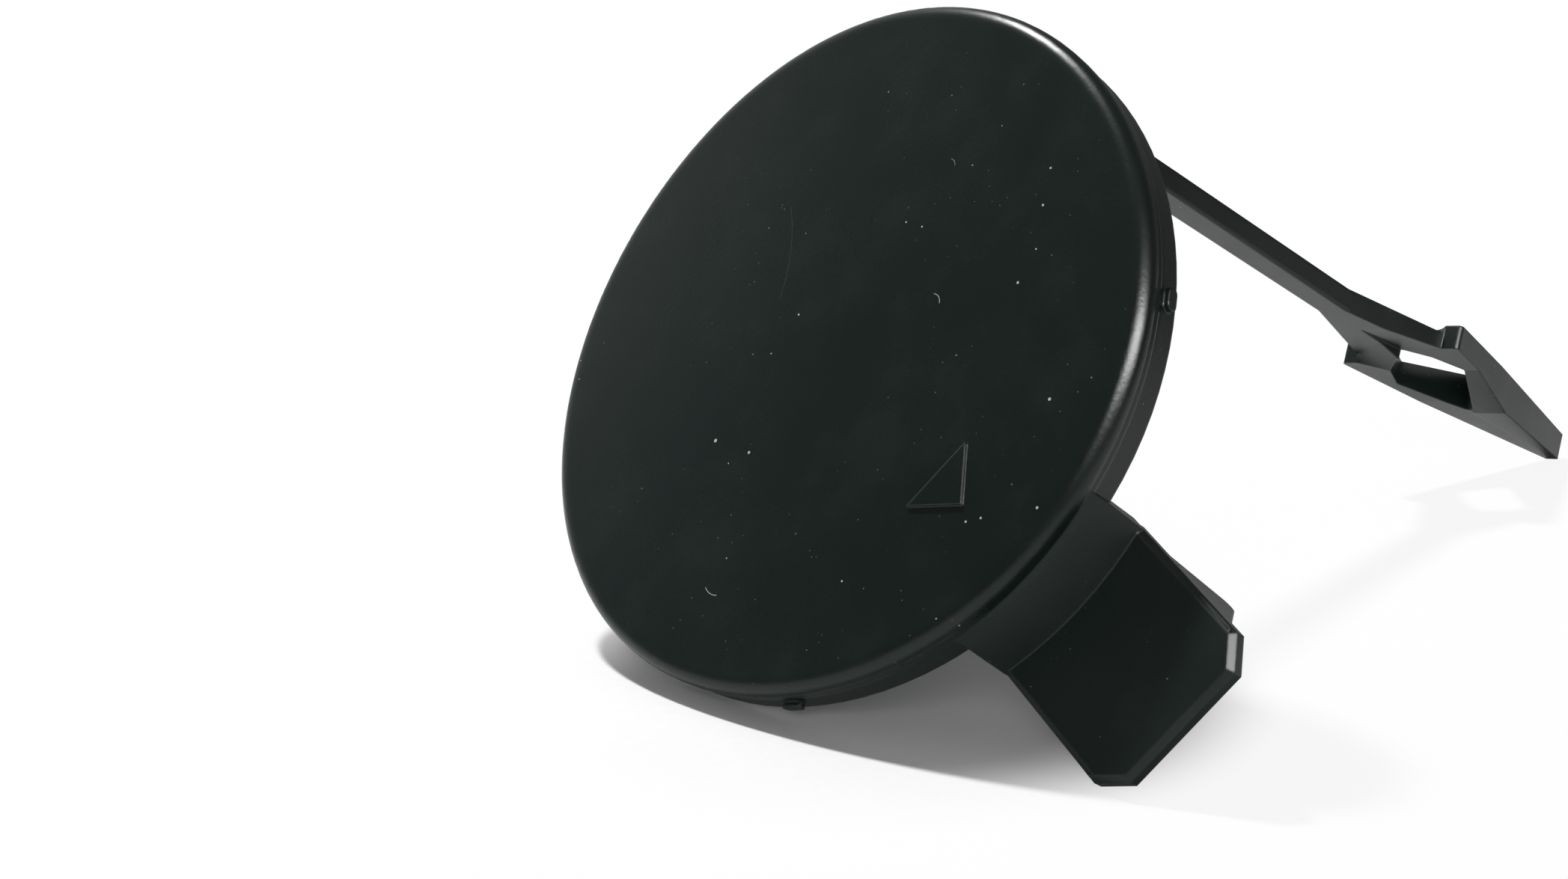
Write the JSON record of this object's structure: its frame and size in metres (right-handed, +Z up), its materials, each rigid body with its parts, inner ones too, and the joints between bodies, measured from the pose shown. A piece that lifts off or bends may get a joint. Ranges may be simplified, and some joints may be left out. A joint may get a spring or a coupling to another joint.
{
  "type": "bumper tow hook cover",
  "caption": "Round moulded cover for the tow hook hole in a bumper, with a hooking tongue and a tether strap that ends in a barbed arrow head.",
  "frame": {"origin": "on the ground under the middle of the cover's box, as the cover lies on the rim of its cap, the end of its tongue and the tip of its strap", "axes": "+Z up, +X along the ground in the direction the strap runs out from behind the cap, +Y to the left of that"},
  "size_m": [0.1372, 0.0792, 0.0588],
  "materials": {
    "black_moulded_plastic": "fine moulded grain with a soft sheen"
  },
  "bodies": {
    "root": {"tow_hook_cover": "black_moulded_plastic"}
  },
  "joints": []
}
